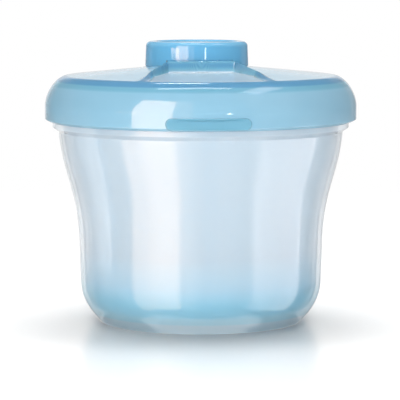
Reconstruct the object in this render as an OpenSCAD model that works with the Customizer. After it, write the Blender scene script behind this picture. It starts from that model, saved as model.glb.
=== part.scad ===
// Three-compartment formula dispenser: an open cup, a lift-out divider with three
// compartments, a turning lid with a pouring spout, its seal, and a push-fit spout cap.
// The origin is on the surface it stands on, on the cup's axis. The thumb tab faces -Y.

/* [Cup] */
// Radius of the foot where it meets the table
foot_r = 34.2; // [33:0.1:35]
// Radius of the straight lower body
body_r = 40.55; // [40:0.05:41]
// Radius of the mouth, under the flange
mouth_r = 47.4; // [47:0.05:47.6]
// Height at which the body starts to flare
flare_start_z = 25; // [22:1:28]
// Height at which the flare ends
flare_end_z = 62; // [60:0.5:62]
// Radius of the flange that closes the lid's lower edge
flange_r = 49.5; // [49:0.1:49.8]
// Height of the rim that the seal rests on
rim_z = 75.5; // [75:0.1:76]
// Wall thickness of the cup
cup_wall = 1.6; // [1.2:0.1:1.8]
// Height of the floor's underside above the table
foot_h = 3.4; // [3:0.1:4]

/* [Divider] */
// Clear gap between the cup's wall and the divider's wall
nest_gap = 1.5; // [1.2:0.1:1.8]
// Wall thickness of the divider
divider_wall = 1.4; // [1:0.1:1.6]
// Thickness of each vane
vane_t = 1.4; // [1:0.1:2]
// Radius of the hollow post that the vanes meet at
hub_r = 4; // [3:0.5:6]
// Number of compartments
compartments = 3; // [3:1:4]
// Angle from the thumb tab to the nearest vane
divider_turn = 6.4; // [0:0.1:20]
// Height of the divider's side wall
divider_z = 72.8; // [72:0.1:73]

/* [Lid] */
// Outer radius of the lid's skirt
skirt_r = 52.05; // [52:0.05:52.5]
// Height of the skirt's lower edge
skirt_z = 66.8; // [66.5:0.1:67]
// Height of the middle of the shallow dome
dome_z = 86.6; // [86:0.1:87]
// Wall thickness of the lid
lid_wall = 1.8; // [1.6:0.05:1.85]
// Width of the thumb tab
tab_w = 27.2; // [20:0.2:30]
// Height of the thumb tab
tab_h = 3.8; // [3:0.1:4]
// How far the thumb tab stands proud of the skirt
tab_out = 1.2; // [0.8:0.1:1.6]
// Height of the plateau between the panel and the spout
plateau_z = 86.8; // [86.5:0.1:87.2]

/* [Spout] */
// Distance of the spout's axis behind the lid's axis
spout_y = 28; // [27:0.5:29]
// Inner radius of the spout
spout_r = 13.5; // [13:0.1:13.6]
// Wall thickness of the spout
spout_wall = 1.6; // [1.4:0.1:1.7]
// Height of the spout's mouth
spout_z = 89.6; // [88:0.1:90]
// Height of the flat seat that the cap rests on
seat_z = 83.6; // [83.4:0.1:83.8]

/* [Cap] */
// Outer radius of the cap at its lower edge
cap_r = 17.9; // [17.4:0.1:18]
// Height of the cap's top
cap_z = 92.5; // [92:0.1:93]
// Radius of the cap's rounded top edge
cap_round = 2.7; // [1:0.1:2.8]
// Thickness of the cap's top
cap_top = 1.7; // [1.4:0.1:2]

/* [Hidden] */
$fn = 96;
// Straight pieces in each curved stretch of an outline
steps = 8;
// A height and a radius beyond the whole object
beyond = 100;

cup_colour = [0.80, 0.90, 0.96, 0.6];
lid_colour = [0.55, 0.78, 0.90, 0.8];
seal_colour = [0.93, 0.95, 0.96];

floor_z = foot_h + cup_wall;
divider_floor_z = floor_z + 1.5;
divider_out = cup_wall + nest_gap;
divider_in = divider_out + divider_wall;

// Radial clearances: between pieces that turn or lift past each other
turn_gap = 0.4;
lift_gap = 0.3;

// The cup's outline is two Bezier curves, [radius, height]: the rounded foot and the flare
foot_curve = [[foot_r, 0], [foot_r + 5.35, 5.8], [body_r - 0.1, 9.2], [body_r, 15]];
flare_curve = [
    [body_r + 0.3, flare_start_z],
    [body_r + 0.9, flare_start_z + 20],
    [mouth_r - 1.7, flare_end_z - 14.5],
    [mouth_r, flare_end_z]
];
// The lid's shoulder runs from the top of the skirt to the edge of the dome
dome_slope = 0.1;
shoulder_r = 45;
shoulder_z = dome_z - dome_slope * shoulder_r;
shoulder_curve = [
    [skirt_r, 72],
    [skirt_r, 76.5],
    [shoulder_r + 3.3, shoulder_z - 0.33],
    [shoulder_r, shoulder_z]
];

// Place on a cubic Bezier curve
function bezier(p, t) =
    pow(1 - t, 3) * p[0] + 3 * pow(1 - t, 2) * t * p[1]
    + 3 * (1 - t) * t * t * p[2] + pow(t, 3) * p[3];

// Direction of travel along the curve
function bezier_way(p, t) =
    pow(1 - t, 2) * (p[1] - p[0]) + 2 * (1 - t) * t * (p[2] - p[1])
    + t * t * (p[3] - p[2]);

// The curve moved by a distance towards the axis, as a list of points
function inside(p, by) = [
    for (i = [0 : steps])
        let (t = i / steps, way = bezier_way(p, t))
        bezier(p, t) + by * [-way[1], way[0]] / norm(way)
];

// The cup's outer outline, from foot to mouth, moved inwards by a distance
function side(by) = concat(inside(foot_curve, by), inside(flare_curve, by));

// Half sections, turned about the vertical axis
module turned(points) {
    rotate_extrude() polygon(points);
}

module cylinder_between(r, low, high) {
    translate([0, 0, low]) cylinder(r = r, h = high - low);
}

// The space inside an inset of the cup's outline, above a floor
module hollow(by, from_z, mouth, to_z) {
    intersection() {
        turned(concat([[0, 0]], side(by), [mouth, [mouth[0], to_z], [0, to_z]]));
        cylinder_between(beyond, from_z, beyond);
    }
}

// ---- Cup ----

rim_r = 47.8;
rim_inner_r = rim_r - cup_wall;
// The flange fills the gap under the lid's skirt; the bead above it holds the lid on
flange_top_z = skirt_z;
flange_t = 1.8;
flange_slope = 1.4;
bead_z = 70.8;
bead_flat = 0.5;
bead_slope = 1.0;
foot_ring_t = 1.4;

module cup() {
    bead_r = skirt_r - lid_wall - turn_gap;
    recess_r = foot_r - foot_ring_t;
    color(cup_colour)
    difference() {
        turned(concat([[0, 0]], side(0), [
            [mouth_r + 0.1, flange_top_z - flange_t - flange_slope],
            [flange_r, flange_top_z - flange_t],
            [flange_r, flange_top_z],
            [rim_r, flange_top_z + 0.8],
            [rim_r, bead_z - bead_flat - bead_slope],
            [bead_r, bead_z - bead_flat],
            [bead_r, bead_z + bead_flat],
            [rim_r, bead_z + bead_flat + bead_slope],
            [rim_r, rim_z],
            [0, rim_z]
        ]));
        hollow(cup_wall, floor_z, [rim_inner_r, rim_z - 3], beyond);
        cylinder_between(recess_r, -1, foot_h);
    }
}

// ---- Divider ----

// The vanes reach up to the lid: level in the middle, then sloping to the seal
vane_edge_r = 42.6;
vane_edge_z = 79.2;
vane_top_z = 80.3;
vane_flat_r = 30;
// The divider's lip, which stands out over the mouth of its side wall
lip_t = 1.4;
lip_slope = 1.0;
lip_inner_r = 40;

// One upright vane, from the post to the side wall and up to the lid
module vane() {
    root = divider_in - divider_wall / 2;
    rotate([90, 0, 0])
    linear_extrude(vane_t, center = true)
    intersection() {
        polygon(concat([[0, 0]], side(root), [
            [mouth_r - root, divider_z - 0.6],
            [vane_edge_r, divider_z + 0.6],
            [vane_edge_r, vane_edge_z],
            [vane_flat_r, vane_top_z],
            [0, vane_top_z]
        ]));
        translate([0, divider_floor_z - 0.5]) square(beyond);
    }
}

module divider() {
    lip_r = rim_inner_r - lift_gap;
    core_r = hub_r - divider_wall;
    lip_low_z = divider_z - lip_t - lip_slope;
    outer_mouth = [mouth_r - divider_out + 0.1, lip_low_z];
    inner_mouth = [mouth_r - divider_in + 0.1, lip_low_z];
    color(cup_colour)
    difference() {
        union() {
            difference() {
                union() {
                    hollow(divider_out, floor_z, outer_mouth, divider_z);
                    turned([
                        [lip_inner_r, lip_low_z],
                        outer_mouth,
                        [lip_r, divider_z - lip_t],
                        [lip_r, divider_z],
                        [lip_inner_r, divider_z]
                    ]);
                }
                hollow(divider_in, divider_floor_z, inner_mouth, beyond);
            }
            cylinder_between(hub_r, floor_z, vane_top_z);
            for (i = [0 : compartments - 1])
                rotate(-90 - divider_turn + i * 360 / compartments) vane();
        }
        cylinder_between(core_r, floor_z - 1, vane_top_z - divider_wall);
    }
}

// ---- Seal ring ----

seal_top_z = 78.9;
seal_lip_z = 73.6;
seal_inner_r = 44.6;

// An L-shaped ring: it rests on the cup's rim, its lip reaches inside the rim
module seal_ring() {
    lip_r = rim_inner_r - lift_gap;
    color(seal_colour)
    turned([
        [seal_inner_r, seal_lip_z],
        [lip_r, seal_lip_z],
        [lip_r, rim_z],
        [rim_r, rim_z],
        [rim_r, seal_top_z - 1.6],
        [rim_r - 1.3, seal_top_z],
        [seal_inner_r, seal_top_z]
    ]);
}

// ---- Lid ----

// The recessed panel: half widths of its floor, from the front edge to the back wall
panel_front = [18.8, -47];
panel_middle = [16.4, -22];
panel_back = [11.0, -4.5];
panel_front_z = 82.0;
panel_slope = 0.028;
// Half width and height of the panel's upper edges, from front to back
panel_brim = [[21.4, 82.2], [16.8, 85.0], [11.3, plateau_z]];
// Thickness of the plastic under the panel, and how far it reaches past the panel's floor
tray_t = 1.6;
tray_grow = 1.1;
// The raised crest around the panel: half width and place, from front to back
crest_front = [21.6, -40.5];
crest_middle = [16.5, -22];
crest_back = [10.9, -3];
crest_end = [10.9, 9];
crest_middle_z = 84.9;
crest_w = 0.9;

function panel_z(y) = panel_front_z + panel_slope * (y - panel_front[1]);

// An upright pin on each side of the lid's middle plane
module pins(place, low, high, r = 0.1) {
    for (s = [-1, 1])
        translate([s * place[0], place[1], low]) cylinder(r = r, h = high - low, $fn = 32);
}

// The raised crest and the plateau behind it, before the panel is sunk
module hill() {
    hull() {
        pins(crest_front, shoulder_z - 0.9, shoulder_z, crest_w);
        pins(crest_middle, crest_middle_z - 2, crest_middle_z, crest_w);
        pins(crest_back, dome_z - 2.1, plateau_z, crest_w);
        pins(crest_end, dome_z - 2.4, plateau_z, crest_w);
    }
}

// The space above the sloping panel, with flanks that lean outwards at the front
module panel_space() {
    top_z = plateau_z + 2;
    floor_edge = [panel_front, panel_middle, panel_back];
    hull() {
        for (i = [0 : 2]) {
            pins(floor_edge[i], panel_z(floor_edge[i][1]), top_z);
            pins([panel_brim[i][0], floor_edge[i][1]], panel_brim[i][1], top_z);
        }
    }
}

// The plastic under the panel
module panel_tray() {
    tray_front_y = -40;
    tray_rise = 0.1;
    edge = [
        [panel_front[0] + tray_grow, tray_front_y],
        panel_middle + [tray_grow, 0],
        panel_back + [tray_grow, tray_grow]
    ];
    hull() {
        for (p = edge)
            pins(p, panel_z(p[1]) - tray_t, panel_z(p[1]) + tray_rise);
    }
}

// Dome, shoulder and skirt as one thin shell, with the seat for the seal
module lid_shell() {
    rib_r = 43.2;
    rib_t = 1.1;
    rib_low_z = 76.3;
    seat_w = 3.5;
    inner_r = skirt_r - lid_wall;
    turned(concat(
        [[0, dome_z - lid_wall], [0, dome_z]],
        [for (i = [steps : -1 : 0]) bezier(shoulder_curve, i / steps)],
        [[skirt_r, skirt_z + 1], [inner_r + 0.2, skirt_z], [inner_r, skirt_z + 0.4]],
        inside(shoulder_curve, lid_wall)
    ));
    turned([
        [rib_r, rib_low_z],
        [rib_r + rib_t, rib_low_z],
        [rib_r + rib_t, seal_top_z],
        [rib_r + seat_w, seal_top_z],
        [rib_r + seat_w, seal_top_z + 2],
        [rib_r, seal_top_z + 2.6]
    ]);
}

// Everything under the lid's outer surface
module under_dome() {
    turned([
        [0, seat_z - 2],
        [0, dome_z],
        [shoulder_r, shoulder_z],
        [skirt_r - 3, shoulder_z - 3],
        [skirt_r - 3, seat_z - 5]
    ]);
}

// A long rounded ledge for the thumb on the front of the skirt
module thumb_tab() {
    tab_z = 69.2;
    end_r = tab_h / 2;
    intersection() {
        difference() {
            cylinder_between(skirt_r + tab_out, tab_z - end_r, tab_z + end_r);
            cylinder_between(skirt_r - lid_wall / 2, 0, beyond);
        }
        translate([0, 0, tab_z]) rotate([90, 0, 0]) linear_extrude(beyond) union() {
            square([tab_w - tab_h, tab_h], center = true);
            for (s = [-1, 1])
                translate([s * (tab_w / 2 - end_r), 0]) circle(r = end_r, $fn = 48);
        }
    }
}

module at_spout() {
    translate([0, spout_y, 0]) children();
}

module lid() {
    well_r = cap_r + 0.6;
    well_wall = 1.4;
    color(lid_colour)
    difference() {
        union() {
            difference() {
                union() {
                    lid_shell();
                    hill();
                    panel_tray();
                    intersection() {
                        at_spout() cylinder_between(well_r + well_wall, seat_z - lid_wall, beyond);
                        under_dome();
                    }
                    at_spout() cylinder_between(well_r + well_wall, seat_z - lid_wall, seat_z);
                    thumb_tab();
                }
                at_spout() cylinder_between(well_r, seat_z, beyond);
                panel_space();
            }
            at_spout() cylinder_between(spout_r + spout_wall, seat_z - lid_wall, spout_z);
        }
        at_spout() cylinder_between(spout_r, seat_z - 10, spout_z + 1);
    }
}

// ---- Spout cap ----

module spout_cap() {
    fit_gap = 0.35;
    taper = 0.35;
    plug_wall = 1.4;
    plug_z = spout_z - 2.4;
    top_r = cap_r - taper;
    dish_r = top_r - cap_round - 1.2;
    dish = 0.4;
    inner_r = spout_r + spout_wall + fit_gap;
    plug_r = spout_r - fit_gap;
    roof_z = cap_z - dish - cap_top;
    color(lid_colour)
    at_spout() turned(concat(
        [[inner_r, seat_z], [cap_r, seat_z]],
        [for (a = [0 : 15 : 90])
            [top_r - cap_round + cap_round * cos(a), cap_z - cap_round + cap_round * sin(a)]],
        [
            [dish_r + 0.4, cap_z],
            [dish_r, cap_z - dish],
            [0, cap_z - dish],
            [0, roof_z],
            [plug_r - plug_wall, roof_z],
            [plug_r - plug_wall, plug_z],
            [plug_r, plug_z],
            [plug_r, roof_z],
            [inner_r, roof_z]
        ]
    ));
}

cup();
divider();
seal_ring();
lid();
spout_cap();
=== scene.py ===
import math

import bmesh
import bpy
from mathutils import Matrix, Vector


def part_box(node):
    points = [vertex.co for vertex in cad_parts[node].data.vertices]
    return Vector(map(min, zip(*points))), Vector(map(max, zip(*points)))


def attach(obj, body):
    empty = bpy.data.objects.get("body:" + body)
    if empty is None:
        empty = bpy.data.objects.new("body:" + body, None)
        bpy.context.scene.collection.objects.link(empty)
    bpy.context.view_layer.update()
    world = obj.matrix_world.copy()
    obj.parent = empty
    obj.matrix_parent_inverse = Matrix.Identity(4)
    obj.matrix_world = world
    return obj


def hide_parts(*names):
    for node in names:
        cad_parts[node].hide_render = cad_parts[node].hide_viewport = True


# A three-compartment formula dispenser: cup, lift-out divider, seal, turning lid and
# spout cap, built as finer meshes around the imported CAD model. Outlines are [radius,
# height] in millimetres about each piece's own upright axis; the scene is in metres.

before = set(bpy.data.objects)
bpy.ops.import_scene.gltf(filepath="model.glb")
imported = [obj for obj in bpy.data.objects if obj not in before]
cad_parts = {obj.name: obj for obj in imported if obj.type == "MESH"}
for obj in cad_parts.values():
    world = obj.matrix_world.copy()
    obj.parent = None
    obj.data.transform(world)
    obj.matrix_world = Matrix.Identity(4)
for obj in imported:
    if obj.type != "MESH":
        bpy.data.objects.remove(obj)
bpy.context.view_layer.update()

MM = 0.001


def box_mm(node):
    """Lowest and highest corners of a CAD node, in millimetres."""
    low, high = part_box(node)
    return [v / MM for v in low], [v / MM for v in high]


cup_high = box_mm("cup")[1]
divider_high = box_mm("divider")[1]
seal_low, seal_high = box_mm("seal_ring")
lid_low, lid_high = box_mm("lid")
cap_low, cap_high = box_mm("spout_cap")

# ---------------------------------------------------------------- outlines

# The most of an edge that the fillet at one of its ends may take
FILLET_SHARE = 0.48
# Radii below this lie on the axis
ON_AXIS = 1e-6


def smooth(t):
    """0 below 0, 1 above 1, and a smooth step between."""
    t = min(max(t, 0.0), 1.0)
    return t * t * (3 - 2 * t)


def between(y, ends):
    """Straight-line value at y through (y, value) pairs in rising order of y."""
    if y <= ends[0][0]:
        return ends[0][1]
    for (y0, v0), (y1, v1) in zip(ends, ends[1:]):
        if y <= y1:
            return v0 + (v1 - v0) * (y - y0) / (y1 - y0)
    return ends[-1][1]


def bezier(p, t):
    """Place on a cubic Bezier curve with control points p."""
    a, b, c, d = (1 - t) ** 3, 3 * (1 - t) ** 2 * t, 3 * (1 - t) * t * t, t**3
    return tuple(a * p[0][k] + b * p[1][k] + c * p[2][k] + d * p[3][k] for k in (0, 1))


def bezier_way(p, t):
    """Direction of travel along the curve, as a unit vector."""
    a, b, c = (1 - t) ** 2, 2 * (1 - t) * t, t * t
    way = Vector([a * (p[1][k] - p[0][k]) + b * (p[2][k] - p[1][k]) + c * (p[3][k] - p[2][k])
                  for k in (0, 1)])
    return way.normalized()


def curve(p, inset=0.0, steps=22):
    """Points along the curve, moved towards the axis by inset."""
    points = []
    for i in range(steps + 1):
        t = i / steps
        way = bezier_way(p, t)
        x, z = bezier(p, t)
        points.append((x - inset * way.y, z + inset * way.x))
    return points


def rounded(points, steps=4):
    """An outline whose corners given as (radius, height, fillet) become arcs."""
    n = len(points)
    out = []
    for i, p in enumerate(points):
        if len(p) < 3 or i in (0, n - 1):
            out.append((p[0], p[1]))
            continue
        here, before, after = (Vector(q[:2]) for q in (p, points[i - 1], points[i + 1]))
        u, v = before - here, after - here
        half = u.angle(v) / 2
        reach = min(p[2] / math.tan(half), FILLET_SHARE * u.length, FILLET_SHARE * v.length)
        fillet = reach * math.tan(half)
        u.normalize()
        v.normalize()
        centre = here + (u + v).normalized() * (fillet / math.sin(half))
        start, end = (here + w * reach - centre for w in (u, v))
        for k in range(steps + 1):
            spoke = start.normalized().slerp(end.normalized(), k / steps)
            out.append(tuple(centre + spoke * fillet))
    return out


# ---------------------------------------------------------------- meshes

# Faces that meet at more than this angle keep a sharp edge between them
SHARP = math.radians(50)
# A plate's cuts: their direction, the gap between them in millimetres, and how many
PLATE_CUTS = [((1, 0, 0), 2.2, 19), ((0, 0, 1), 5, 15)]


def new_object(name, bm):
    """A smooth-shaded object made from a bmesh."""
    bmesh.ops.recalc_face_normals(bm, faces=bm.faces)
    mesh = bpy.data.meshes.new(name)
    bm.to_mesh(mesh)
    bm.free()
    for face in mesh.polygons:
        face.use_smooth = True
    obj = bpy.data.objects.new(name, mesh)
    bpy.context.scene.collection.objects.link(obj)
    return obj


def skin(bm, rings, closed):
    """Quads between rings of vertices; a ring of one vertex is a pole."""
    pairs = list(zip(rings, rings[1:]))
    if closed:
        pairs.append((rings[-1], rings[0]))
    for low, high in pairs:
        n = max(len(low), len(high))
        if n == 1:
            continue
        for i in range(n):
            j = (i + 1) % n
            corners = [low[i % len(low)], low[j % len(low)], high[j % len(high)], high[i % len(high)]]
            bm.faces.new(list(dict.fromkeys(corners)))


def turned(name, outline, segments=192, centre=(0.0, 0.0), lift=None):
    """The solid swept by an outline about an upright axis at centre.
    lift(x, y, z, i) may change the height of point i of the outline."""
    bm = bmesh.new()
    rings = []
    for i, (r, z) in enumerate(outline):
        ring = []
        for k in range(1 if r < ON_AXIS else segments):
            a = 2 * math.pi * k / segments
            x, y = centre[0] + r * math.cos(a), centre[1] + r * math.sin(a)
            h = lift(x, y, z, i) if lift else z
            ring.append(bm.verts.new((x * MM, y * MM, h * MM)))
        rings.append(ring)
    skin(bm, rings, closed=outline[0][0] > ON_AXIS)
    return new_object(name, bm)


def plate(name, outline, thickness, turn, edge):
    """An upright plate through the axis, from an outline in radius and height. It is cut
    into a grid, so that its tint, with the painted shade at its joints, can change across it."""
    bm = bmesh.new()
    sides = []
    for s in (-1, 1):
        sides.append([bm.verts.new((r * MM, s * thickness / 2 * MM, z * MM)) for r, z in outline])
        bm.faces.new(sides[-1])
    for i in range(len(outline)):
        j = (i + 1) % len(outline)
        bm.faces.new((sides[0][i], sides[0][j], sides[1][j], sides[1][i]))
    bmesh.ops.bevel(bm, geom=bm.edges[:], offset=edge * MM, segments=2, profile=0.5,
                    affect="EDGES", clamp_overlap=True)
    for along, gap, count in PLATE_CUTS:
        way = Vector(along)
        for k in range(1, count + 1):
            bmesh.ops.bisect_plane(bm, geom=bm.verts[:] + bm.edges[:] + bm.faces[:],
                                   plane_co=way * k * gap * MM, plane_no=way)
    bmesh.ops.rotate(bm, verts=bm.verts, cent=(0, 0, 0), matrix=turn)
    return new_object(name, bm)


def combine(obj, other, operation):
    """obj joined with, or cut by, another object, which is then removed."""
    step = obj.modifiers.new("combine", "BOOLEAN")
    step.operation = operation
    step.solver = "EXACT"
    step.object = other
    made = bpy.data.meshes.new_from_object(
        obj.evaluated_get(bpy.context.evaluated_depsgraph_get()))
    obj.modifiers.remove(step)
    obj.data = made
    obj.data.name = obj.name
    bpy.data.objects.remove(other)


def finish_piece(obj, body, cad_node, material, depth_and_shade):
    """Even shading, its material, and what it stands for and moves with. depth_and_shade(x, y, z)
    is how deep its tint is at a point, from 0 to 1: thickness, painted shade and painted highlight."""
    layer = obj.data.attributes.new("depth_and_shade", "FLOAT", "POINT")
    layer.data.foreach_set("value", [depth_and_shade(*(v.co / MM)) for v in obj.data.vertices])
    for face in obj.data.polygons:
        face.use_smooth = True
    obj.data.set_sharp_from_angle(angle=SHARP)
    even = obj.modifiers.new("even_normals", "WEIGHTED_NORMAL")
    even.keep_sharp = True
    obj.data.materials.clear()
    obj.data.materials.append(material)
    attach(obj, body)
    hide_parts(cad_node)


# ---------------------------------------------------------------- materials

# How far the tint wanders across a piece, and the share by which the polish does
TINT_DRIFT = 0.07
POLISH_DRIFT = 0.12
# Sizes of the slow clouds and of the fine grain, and the height of the grain in metres
CLOUD_SCALE, GRAIN_SCALE = 22, 900
GRAIN_HEIGHT = 0.00002
CLEAR_TINT = (0.98, 0.99, 1.0, 1)


def node(mat, kind, inputs=None, **settings):
    """A new shader node; an input is a value or another node's output."""
    made = mat.node_tree.nodes.new("ShaderNode" + kind)
    for name, value in settings.items():
        setattr(made, name, value)
    for name, value in (inputs or {}).items():
        if isinstance(value, bpy.types.NodeSocket):
            mat.node_tree.links.new(value, made.inputs[name])
        else:
            made.inputs[name].default_value = value
    return made


def plastic(name, tints, roughness, clear, back, grain, ior=1.46):
    """Moulded milky plastic under a gloss skin. tints are (depth_and_shade, colour) from thin,
    unshaded plastic to thick plastic and painted shade, clear is how see-through it is at either
    end, and back is the share of the milky rest that is lit from behind. ior sets how strong the gloss
    is."""
    mat = bpy.data.materials.new(name)
    mat.use_nodes = True
    shader = mat.node_tree.nodes["Principled BSDF"]
    surface = mat.node_tree.nodes["Material Output"].inputs["Surface"]
    place = node(mat, "TexCoord").outputs["Object"]
    depth_and_shade = node(mat, "Attribute", attribute_name="depth_and_shade").outputs["Fac"]

    cloud = node(mat, "TexNoise", {"Vector": place, "Scale": CLOUD_SCALE, "Detail": 3}).outputs["Fac"]
    drift = node(mat, "MapRange", {"Value": cloud, "To Min": -TINT_DRIFT, "To Max": TINT_DRIFT})
    tone_level = node(mat, "Math", {0: depth_and_shade, 1: drift.outputs["Result"]}, use_clamp=True)
    tint = node(mat, "ValToRGB", {"Fac": tone_level.outputs[0]})
    stops = tint.color_ramp.elements
    while len(stops) < len(tints):
        stops.new(0.5)
    for stop, (at, colour) in zip(stops, tints):
        stop.position = at
        stop.color = (*colour, 1)
    colour = tint.outputs["Color"]

    polish = node(mat, "MapRange", {"Value": cloud, "To Min": roughness * (1 - POLISH_DRIFT),
                                    "To Max": roughness * (1 + POLISH_DRIFT)}).outputs["Result"]
    fine = node(mat, "TexNoise", {"Vector": place, "Scale": GRAIN_SCALE, "Detail": 4}).outputs["Fac"]
    bump = node(mat, "Bump", {"Height": fine, "Strength": grain, "Distance": GRAIN_HEIGHT})
    normal = bump.outputs["Normal"]

    links = mat.node_tree.links
    links.new(colour, shader.inputs["Base Color"])
    links.new(polish, shader.inputs["Roughness"])
    links.new(normal, shader.inputs["Normal"])
    shader.inputs["Specular IOR Level"].default_value = 0.0
    lit_behind = node(mat, "BsdfTranslucent", {"Color": colour})
    milk = node(mat, "MixShader", {0: back, 1: shader.outputs[0], 2: lit_behind.outputs[0]})

    inner_side = node(mat, "NewGeometry").outputs["Backfacing"]
    haze = node(mat, "MapRange", {"Value": tone_level.outputs[0], "To Min": clear[0], "To Max": clear[1]})
    through = node(mat, "Math", {0: inner_side, 1: haze.outputs[0]}, operation="MAXIMUM").outputs[0]
    glass = node(mat, "BsdfTransparent", {"Color": CLEAR_TINT})
    body = node(mat, "MixShader", {0: through, 1: milk.outputs[0], 2: glass.outputs[0]})

    mirror = node(mat, "Fresnel", {"IOR": ior}).outputs[0]
    outer = node(mat, "Math", {0: mirror, 1: inner_side}, operation="SUBTRACT", use_clamp=True)
    gloss = node(mat, "BsdfGlossy", {"Roughness": polish, "Normal": normal})
    skinned = node(mat, "MixShader", {0: outer.outputs[0], 1: body.outputs[0], 2: gloss.outputs[0]})
    links.new(skinned.outputs[0], surface)
    return mat


cup_plastic = plastic(
    "cup_plastic",
    [(0, (0.86, 0.94, 1.0)), (0.5, (0.62, 0.84, 0.96)), (1, (0.40, 0.72, 0.86))],
    roughness=0.13, clear=(0.6, 0.4), back=0.3, grain=0.2, ior=1.34)
divider_plastic = plastic(
    "divider_plastic",
    [(0, (0.78, 0.92, 1.0)), (0.35, (0.54, 0.80, 0.95)), (0.7, (0.22, 0.58, 0.76)),
     (1, (0.14, 0.44, 0.60))],
    roughness=0.3, clear=(0.6, 0.1), back=0.3, grain=0.25, ior=1.3)
seal_plastic = plastic(
    "seal_plastic", [(0, (0.90, 0.93, 0.95)), (1, (0.84, 0.89, 0.92))],
    roughness=0.45, clear=(0.1, 0.1), back=0.3, grain=0.3, ior=1.4)
lid_plastic = plastic(
    "lid_plastic",
    [(0, (0.82, 0.91, 0.97)), (0.35, (0.29, 0.535, 0.68)), (0.65, (0.183, 0.44, 0.575)),
     (1, (0.102, 0.30, 0.49))],
    roughness=0.08, clear=(0.14, 0.08), back=0.3, grain=0.1)
cap_plastic = plastic(
    "cap_plastic", [(0, (0.17, 0.46, 0.68)), (1, (0.12, 0.40, 0.63))],
    roughness=0.08, clear=(0.05, 0.05), back=0.1, grain=0.1)

# ---------------------------------------------------------------- cup

foot_r, body_r, mouth_r = 34.2, 40.55, 47.4
foot_curve = [(foot_r, 0), (foot_r + 5.35, 5.8), (body_r - 0.1, 9.2), (body_r, 15)]
flare_curve = [(body_r + 0.3, 25), (body_r + 0.9, 45), (mouth_r - 1.7, 47.5), (mouth_r, 62)]
cup_wall = 1.6
foot_h = 3.4
floor_z = foot_h + cup_wall
flange_z = lid_low[2]
flange_r = cup_high[0] - 0.35
rim_r, rim_z = 47.8, cup_high[2]
bead_r, bead_z = cup_high[0], 70.8
# How deep the foot's tint is, and over what height above the floor the painted shade fades
foot_depth = 0.55
fade_from, fade_h = 3, 13


def side(inset, above=-1.0):
    """The cup's outline moved inwards, from foot to mouth, above a height."""
    points = curve(foot_curve, inset) + curve(flare_curve, inset)
    kept = [p for p in points if p[1] > above + 0.15]
    first = points.index(kept[0])
    if first == 0:
        return kept
    (r0, z0), (r1, z1) = points[first - 1], points[first]
    return [(r0 + (r1 - r0) * (above - z0) / (z1 - z0), above, 0.5)] + kept


cup_outline = rounded(
    [(0, foot_h - 0.5), (1.3, foot_h - 0.5, 0.3), (1.7, foot_h, 0.2), (foot_r - 1.4, foot_h, 0.5),
     (foot_r - 1.4, 0, 0.35)]
    + [(foot_r + 0.05, 0, 0.3)] + side(0)[1:]
    + [(mouth_r + 0.1, flange_z - 3.2, 0.6), (flange_r, flange_z - 1.8, 0.3), (flange_r, flange_z, 0.3),
       (rim_r, flange_z + 0.8, 0.3), (rim_r, bead_z - 1.5, 0.3), (bead_r, bead_z - 0.5, 0.4),
       (bead_r, bead_z + 0.5, 0.4), (rim_r, bead_z + 1.5, 0.3), (rim_r, rim_z, 0.5),
       (rim_r - cup_wall, rim_z, 0.5)]
    + side(cup_wall, floor_z)[::-1]
    + [(0, floor_z)])


def low_shade(z):
    """Painted shade: the tint deepens towards the floor, standing in for the floors seen through the
    walls.
    """
    return 1 - smooth((z - floor_z - fade_from) / fade_h)


def cup_depth_and_shade(x, y, z):
    """Even in the foot ring, and deeper towards the floor above it, as painted shade."""
    return foot_depth if z < foot_h else low_shade(z)


cup = turned("cup_shell", cup_outline)
finish_piece(cup, "cup", "cup", cup_plastic, cup_depth_and_shade)

# ---------------------------------------------------------------- divider

nest = cup_wall + 1.5
divider_wall = 1.4
deep = nest + divider_wall
divider_floor = floor_z + 1.5
divider_z = 72.8
lip_r = rim_r - cup_wall - 0.3
vane_t = 1.4
compartments = 3
divider_turn = 6.4
vane_angles = [math.radians(-90 - divider_turn + 360 / compartments * k) for k in range(compartments)]
vane_top = divider_high[2]
vane_edge_r, vane_edge_z, vane_flat_r = 42.6, 79.2, 30
hub_r = 4.0
# How deep a vane's tint is away from its joints, and over what width the painted shade at its joints
# fades
vane_depth, joint_fade = 0.2, 3

wall_outline = rounded(
    [(0, floor_z)] + side(nest, floor_z)
    + [(mouth_r - nest + 0.1, divider_z - 2.4, 0.5), (lip_r, divider_z - 1.4, 0.3),
       (lip_r, divider_z, 0.4), (mouth_r - deep + 0.1, divider_z, 0.4)]
    + side(deep, divider_floor)[::-1] + [(0, divider_floor)])
divider = turned("divider_insert", wall_outline)
hub_outline = rounded(
    [(0, floor_z + 0.4), (hub_r, floor_z + 0.4), (hub_r, vane_top, 0.6), (0, vane_top)])
combine(divider, turned("hub", hub_outline, 64), "UNION")
vane_root = deep - divider_wall / 2
vane_outline = (
    [(0.5, divider_floor - 0.7)]
    + [p[:2] for p in side(vane_root, divider_floor - 0.7)[::3]]
    + [(mouth_r - vane_root, divider_z - 0.8), (vane_edge_r, divider_z + 0.6),
       (vane_edge_r, vane_edge_z), (vane_flat_r, vane_top), (0.5, vane_top)])
for angle in vane_angles:
    turn = Matrix.Rotation(angle, 3, "Z")
    combine(divider, plate("vane", vane_outline, vane_t, turn, 0.25), "UNION")
core_outline = [(0, floor_z - 1), (hub_r - divider_wall, floor_z - 1),
                (hub_r - divider_wall, vane_top - divider_wall), (0, vane_top - divider_wall)]
combine(divider, turned("core", core_outline, 64), "DIFFERENCE")

# (height, radius) of the inside of the side wall
wall_inside = [(z, r) for r, z in (p[:2] for p in side(deep, divider_floor))]


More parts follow.
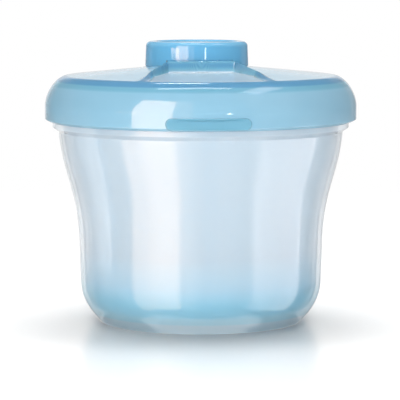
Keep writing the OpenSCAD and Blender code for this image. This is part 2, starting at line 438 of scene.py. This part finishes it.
def divider_depth_and_shade(x, y, z):
    """Painted shade: the post and the vanes' joints are tinted deeper than the vanes, and the side wall
    deepens towards the floor.
    """
    radius = math.hypot(x, y)
    off_vane = min(abs(x * math.sin(a) - y * math.cos(a)) for a in vane_angles)
    to_wall = between(z, wall_inside) - radius
    if z > divider_floor + 0.1 and off_vane < vane_t / 2 + 0.1 and to_wall > -0.25:
        # Painted shade where the vane meets the side wall or the post
        joint_shade = 1 - smooth(min(to_wall, radius - hub_r) / joint_fade)
        return vane_depth + (1 - vane_depth) * joint_shade
    return 1.0 if radius < hub_r + 0.2 else 0.7 * low_shade(z)


finish_piece(divider, "divider", "divider", divider_plastic, divider_depth_and_shade)

# ---------------------------------------------------------------- seal ring


def even_depth(x, y, z):
    """The same all over."""
    return 0.5


seal_r = 44.6
seal_top = seal_high[2]
seal = turned("seal", rounded(
    [(seal_r, seal_low[2] + 2), (seal_r, seal_low[2], 0.5), (lip_r, seal_low[2], 0.5),
     (lip_r, rim_z, 0.2), (rim_r, rim_z, 0.3), (rim_r, seal_top - 1.6, 0.4),
     (rim_r - 1.3, seal_top, 0.4), (seal_r, seal_top, 0.4), (seal_r, seal_low[2] + 3)]))
finish_piece(seal, "seal_ring", "seal_ring", seal_plastic, even_depth)

# ---------------------------------------------------------------- lid

skirt_r = lid_high[0]
skirt_z = lid_low[2]
lid_wall = 1.8
dome_z, dome_slope = 86.6, 0.1
shoulder_r = 45.0
shoulder_z = dome_z - dome_slope * shoulder_r
shoulder_curve = [(skirt_r, 72), (skirt_r, 76.5), (shoulder_r + 3.3, shoulder_z - 0.33),
                  (shoulder_r, shoulder_z)]
spout_y = (cap_low[1] + cap_high[1]) / 2
cap_r = cap_high[0]
seat_z = cap_low[2]
spout_r, spout_wall = 13.5, 1.6
spout_z = lid_high[2]
well_r = cap_r + 0.6
plateau_z = 86.8

# Places along Y where the sunk panel and the hill round it change their slant
panel_front, panel_middle, panel_back = -47, -22, -4.5
hill_front, hill_back, hill_end = -40.5, -3, 9.7
panel_front_z, panel_slope, panel_t = 82.0, 0.028, 1.6
# (place, half width) of the panel's floor, of its upper edge and of the hill, and (place,
# height) of the hill's top
panel_floor = [(panel_front, 18.8), (panel_middle, 16.3), (panel_back, 11.0)]
panel_crest = [(panel_front, 21.4), (panel_middle, 16.9), (panel_back, 11.4)]
hill_edge = [(hill_front, 22.5), (panel_middle, 17.4), (hill_back, 11.8), (9, 11.8)]
hill_top = [(hill_front, shoulder_z), (panel_middle, 84.9), (hill_back, plateau_z)]


def panel_z(y):
    """Height of the panel's floor, which rises towards the spout."""
    return panel_front_z + panel_slope * (y - panel_front)


def dome_height(x, y, z):
    """The lid's outer surface: dome, crest, sunk panel and the seat of the cap."""
    side_gap = between(y, hill_edge) - abs(x)
    inside_hill = smooth(side_gap / 0.7) * smooth((hill_end - y) / 0.6)
    inside_hill *= smooth((shoulder_r + 0.5 - math.hypot(x, y)) / 0.8)
    z += max(between(y, hill_top) - z, 0) * inside_hill
    spout = math.hypot(x, y - spout_y)
    z += (seat_z - z) * (1 - smooth((spout - well_r) / 1.2))
    floor_w, crest_w = between(y, panel_floor), between(y, panel_crest)
    flank = 1 - smooth((abs(x) - floor_w) / (crest_w - floor_w))
    sunk = flank * (1 - smooth((y - panel_back) / 1.0))
    return z - max(z - panel_z(y), 0) * sunk


def under_height(x, y, z):
    """The lid's inner surface, which dips under the panel and the seat."""
    floor_w = between(y, panel_floor) + 1.1
    under_panel = (1 - smooth((abs(x) - floor_w) / 1.2)) * (1 - smooth((y - panel_back - 1) / 1.2))
    z -= max(z - (panel_z(y) - panel_t), 0) * under_panel
    spout = math.hypot(x, y - spout_y)
    return z - max(z - (seat_z - lid_wall), 0) * (1 - smooth((spout - well_r - 1.4) / 0.8))


# Rings across the dome and under it, and rings of the shoulder that the hill can lift
top_steps, under_steps, lifted_steps = 110, 70, 12
top = [(shoulder_r * i / top_steps, dome_z - dome_slope * shoulder_r * i / top_steps)
       for i in range(top_steps)]
shoulder = curve(shoulder_curve, 0, 20)[::-1]
inner_r = skirt_r - lid_wall
rib_r = 43.2
skirt = rounded(
    [shoulder[-1], (skirt_r, skirt_z + 3.0), (skirt_r, skirt_z + 0.95, 0.3),
     (inner_r + 0.2, skirt_z, 0.2), (inner_r, skirt_z + 1.2), (inner_r, 71.5)])
inner = curve(shoulder_curve, lid_wall, 16)
inner = [p for p in inner if p[1] < seal_top - 0.1]
seat = rounded(
    [inner[-1], (rib_r + 3.7, seal_top, 0.2), (rib_r + 1.1, seal_top, 0.2), (rib_r + 1.1, 76.3, 0.3),
     (rib_r, 76.3, 0.3), (rib_r, 80.45)])
under_z = dome_z - lid_wall
under = [(rib_r * (1 - i / under_steps), under_z - dome_slope * rib_r * (1 - i / under_steps))
         for i in range(under_steps + 1)]
lid_outline = top + shoulder[:-1] + skirt + inner[:-1] + seat[:-1] + under
under_from = len(lid_outline) - len(under)


def lid_lift(x, y, z, i):
    """Height of point i of the lid's outline, once it is pushed up or down."""
    if i < top_steps + lifted_steps:
        return dome_height(x, y, z)
    if i > under_from:
        return under_height(x, y, z)
    return z


lid = turned("lid_shell", lid_outline, 384, lift=lid_lift)
at_spout = (0.0, spout_y)
neck_outline = rounded(
    [(spout_r, seat_z - 0.9), (spout_r + spout_wall, seat_z - 0.9), (spout_r + spout_wall, spout_z, 0.5),
     (spout_r - 0.4, spout_z, 0.5), (spout_r - 0.4, seat_z - 0.9)])
combine(lid, turned("neck", neck_outline, 96, at_spout), "UNION")
bore_low, bore_high = seat_z - 8, spout_z + 2
bore_outline = [(0, bore_low), (spout_r, bore_low), (spout_r, bore_high), (0, bore_high)]
combine(lid, turned("bore", bore_outline, 96, at_spout), "DIFFERENCE")

tab_w, tab_h, tab_out, tab_z = 27.2, 3.8, 1.2, 69.2


def thumb_tab():
    """A long bar with round ends that follows the skirt and stands proud of it."""
    bm = bmesh.new()
    end = tab_h / 2
    straight = tab_w / 2 - end
    loop = []
    for s, first in ((1, -90), (-1, 90)):
        for k in range(13):
            a = math.radians(first + 15 * k)
            loop.append((s * straight + end * math.cos(a), end * math.sin(a)))
        for k in range(1, 24):
            loop.append((s * straight * (1 - k / 12), s * end))
    layers = [(skirt_r - 0.9, 1.0), (skirt_r + tab_out - 0.45, 1.0),
              (skirt_r + tab_out - 0.12, 0.92), (skirt_r + tab_out, 0.78)]
    rings = []
    for r, keep in layers:
        ring = []
        for x, z in loop:
            x, z = x - (1 - keep) * end * (1 if x > 0 else -1), z * keep
            y = -math.sqrt(r * r - x * x)
            ring.append(bm.verts.new((x * MM, y * MM, (tab_z + z) * MM)))
        rings.append(ring)
    skin(bm, rings, closed=False)
    bm.faces.new(rings[0])
    bm.faces.new(rings[-1])
    return new_object("tab", bm)


# How far inside the hill's edge its painted highlight line runs, and the half width of the painted
# highlight lines
highlight_in, highlight_w = 0.35, 0.6
# How thick the plastic of the dome and the tab looks
dome_depth, tab_depth = 0.3, 0.65


def lid_depth_and_shade(x, y, z):
    """Painted shade, deepest round the shoulder and down the flanks of the panel, with painted highlight
    lines along the hill's crest and the panel's back step.
    """
    radius = math.hypot(x, y)
    if radius > skirt_r + 0.05:
        return tab_depth
    # The skirt, then a band of painted shade round the shoulder
    if radius > shoulder_r - 0.2:
        return 0.35 + 0.3 * smooth((z - 78.6) / 0.8) + 0.35 * smooth((z - 80.2) / 0.5)
    # Painted shade down the hill's flanks
    flank_shade = smooth((between(y, hill_edge) + 0.6 - abs(x)) / 0.8) * smooth((hill_end + 0.5 - y) / 0.6)
    # Painted highlight lines along the crest and the panel's back step
    to_crest = abs(between(y, hill_edge) - highlight_in - abs(x)) / highlight_w
    to_step = abs(y - panel_back - 1.1) / highlight_w if abs(x) < between(y, panel_crest) else 1
    flank_shade *= 0.4 + 0.6 * smooth(min(to_crest, to_step))
    flat = 1 - smooth((abs(x) - between(y, panel_floor) + 0.3) / 0.6)
    flat *= 1 - smooth((y - panel_back) / 0.6)
    return dome_depth + (1 - dome_depth) * flank_shade * (1 - flat) - dome_depth * flat


combine(lid, thumb_tab(), "UNION")
finish_piece(lid, "lid", "lid", lid_plastic, lid_depth_and_shade)

# ---------------------------------------------------------------- spout cap

cap_z = cap_high[2]
cap_top_r, cap_round, dish = cap_r - 0.35, 2.7, 0.4
dish_r = cap_top_r - cap_round - 1.2
cap_inner, plug_r = spout_r + spout_wall + 0.35, spout_r - 0.35
roof_z = cap_z - dish - 1.7
cap = turned("cap", rounded(
    [(0, cap_z - dish), (dish_r, cap_z - dish, 0.3), (dish_r + 0.4, cap_z, 0.25),
     (cap_top_r, cap_z, cap_round), (cap_r, seat_z, 0.8), (cap_inner, seat_z, 0.3),
     (cap_inner, roof_z, 0.5), (plug_r, roof_z, 0.3), (plug_r, spout_z - 2.4, 0.4),
     (plug_r - 1.4, spout_z - 2.4, 0.3), (plug_r - 1.4, roof_z, 0.5), (0, roof_z)], 8),
    128, at_spout)
finish_piece(cap, "spout_cap", "spout_cap", cap_plastic, even_depth)

# ---------------------------------------------------------------- floor, light and camera

# Strength of the world on matt surfaces, and how far the upright panels stand
SKY = 0.35
WALL_AWAY = 0.6
WHITE = (1, 1, 1)
camera_turn = math.radians(-2.8)
camera_back, camera_up = 0.753, 0.120
aim = Vector((-0.00024, 0, 0.0401))
view_width = 134.52 * MM
# The floor fades into the white backdrop between these distances from the middle
floor_fade, floor_end = 0.25, 0.45


def stage_floor():
    """White acrylic, with no edge to be seen."""
    bm = bmesh.new()
    bmesh.ops.create_grid(bm, x_segments=2, y_segments=2, size=2 * floor_end)
    floor = new_object("floor", bm)
    mat = bpy.data.materials.new("white_acrylic")
    mat.use_nodes = True
    shader = mat.node_tree.nodes["Principled BSDF"]
    shader.inputs["Base Color"].default_value = (0.6, 0.6, 0.6, 1)
    shader.inputs["Roughness"].default_value = 0.2
    shader.inputs["IOR"].default_value = 1.6
    away = node(mat, "VectorMath", {0: node(mat, "TexCoord").outputs["Object"]}, operation="LENGTH")
    fade = node(mat, "MapRange", {"Value": away.outputs["Value"], "From Min": floor_fade,
                                  "From Max": floor_end}, interpolation_type="SMOOTHSTEP")
    nothing = node(mat, "BsdfTransparent")
    edge = node(mat, "MixShader", {0: fade.outputs[0], 1: shader.outputs[0], 2: nothing.outputs[0]})
    mat.node_tree.links.new(edge.outputs[0], mat.node_tree.nodes["Material Output"].inputs["Surface"])
    floor.data.materials.append(mat)
    floor.visible_glossy = False


def around(azimuth, distance, height):
    """A place at an azimuth from the camera, seen from above."""
    a = camera_turn + math.radians(azimuth)
    return (distance * math.sin(a), -distance * math.cos(a), height)


def softbox(name, place, size, power, colour=WHITE, target=(0, 0, 0.05)):
    """An area light that faces the target."""
    light = bpy.data.lights.new(name, "AREA")
    light.shape = "RECTANGLE"
    light.size, light.size_y = size
    light.energy = power
    light.color = colour
    obj = bpy.data.objects.new(name, light)
    obj.location = place
    obj.rotation_mode = "QUATERNION"
    obj.rotation_quaternion = (Vector(target) - obj.location).to_track_quat("-Z", "Y")
    obj.visible_camera = False
    bpy.context.scene.collection.objects.link(obj)
    return obj


def glint(name, place, size, radiance, colour=WHITE, target=(0, 0, 0.08)):
    """A light panel that only shows in reflections."""
    obj = softbox(name, place, size, radiance * math.pi * size[0] * size[1], colour, target)
    obj.visible_diffuse = False


def wall(name, azimuth, size, height, radiance, colour):
    """An upright panel, which faces the object's axis at its own height."""
    place = around(azimuth, WALL_AWAY, height)
    glint(name, place, size, radiance, colour, (0, 0, place[2]))


def lamp(name, place, size, power, colour=WHITE):
    """A light panel that falls on matt surfaces and doesn't show in reflections."""
    obj = softbox(name, place, size, power, colour)
    obj.visible_glossy = False
    return obj


def on_floor(light, state):
    """The light falls only on the floor (INCLUDE) or on everything but the floor (EXCLUDE)."""
    group = bpy.data.collections.new(light.name + "_group")
    group.objects.link(bpy.data.objects["floor"])
    group.collection_objects[0].light_linking.link_state = state
    light.light_linking.receiver_collection = group


def studio_world():
    """White to the eye, softer as light, and in reflections bright only behind the object."""
    world = bpy.data.worlds.new("studio")
    world.use_nodes = True
    way = node(world, "SeparateXYZ", {0: node(world, "TexCoord").outputs["Generated"]})
    backdrop = node(world, "MapRange", {"Value": way.outputs["Y"], "From Min": 0.92, "From Max": 0.975,
                                        "To Min": 0.3, "To Max": 1.0})
    ray = node(world, "LightPath")
    matt = node(world, "Mix", {0: ray.outputs["Is Camera Ray"], 2: SKY, 3: 1.0}).outputs[0]
    strength = node(world, "Mix", {0: ray.outputs["Is Glossy Ray"], 2: matt,
                                   3: backdrop.outputs["Result"]})
    world.node_tree.links.new(strength.outputs[0],
                              world.node_tree.nodes["Background"].inputs["Strength"])
    world.node_tree.nodes["Background"].inputs["Color"].default_value = (1, 1, 1, 1)
    bpy.context.scene.world = world


def studio():
    """The world and the light panels. Places and sizes are in metres."""
    studio_world()
    bpy.context.scene.view_settings.view_transform = "Standard"
    key_warm = (1.0, 0.66, 0.45)
    pink = (1.0, 0.88, 0.86)
    rose = (1.0, 0.85, 0.9)
    cool = (0.95, 0.98, 1.0)
    wall("key", -34, (0.32, 1.06), 0.08, 13, key_warm)
    wall("key_spill", -12, (0.13, 1.06), 0.08, 2.5, key_warm)
    wall("key_low", -57, (0.17, 0.48), -0.25, 11, key_warm)
    glint("key_cap", around(-51, WALL_AWAY, 0.113), (0.22, 0.012), 18, key_warm)
    wall("wall_right", 76, (0.62, 0.48), -0.25, 8, pink)
    glint("strip_right", around(19.7, WALL_AWAY, 0.11), (0.03, 0.05), 30)
    glint("tab_spot", around(-9.5, WALL_AWAY, 0.027), (0.10, 0.014), 14)
    # Each strip has the same X as its target, so that its reflection lies level
    glint("strip_over", (-0.04, -0.04, 0.70), (0.36, 0.07), 9, target=(-0.04, 0, 0.08))
    glint("strip_behind", (-0.037, 0.60, 0.86), (0.18, 0.09), 20, target=(-0.037, 0, 0.08))
    glint("under", (0, -0.1, -0.6), (0.9, 0.4), 5)
    glint("panel_over", (0.33, -0.05, 0.70), (0.35, 0.14), 5, rose)
    ceiling = around(180, 0.4, 1.0)
    ceiling_size = (1.0, 0.8)
    on_floor(lamp("fill", around(-6, 0.9, 0.25), (1.0, 0.6), 10, cool), "EXCLUDE")
    lamp("overhead", ceiling, ceiling_size, 14)
    on_floor(lamp("floor_over", (0, 0, 1.0), (1.0, 0.3), 11), "INCLUDE")
    on_floor(lamp("floor_behind", ceiling, ceiling_size, 7), "INCLUDE")


def photo_camera():
    """A long lens a little above the lid, slightly left of the thumb tab."""
    camera = bpy.data.cameras.new("camera")
    camera.sensor_width = 36
    obj = bpy.data.objects.new("camera", camera)
    obj.location = (camera_back * math.sin(camera_turn), -camera_back * math.cos(camera_turn), camera_up)
    to_aim = aim - obj.location
    obj.rotation_mode = "QUATERNION"
    obj.rotation_quaternion = to_aim.to_track_quat("-Z", "Y")
    camera.lens = camera.sensor_width * to_aim.length / view_width
    bpy.context.scene.collection.objects.link(obj)
    bpy.context.scene.camera = obj


stage_floor()
studio()
photo_camera()
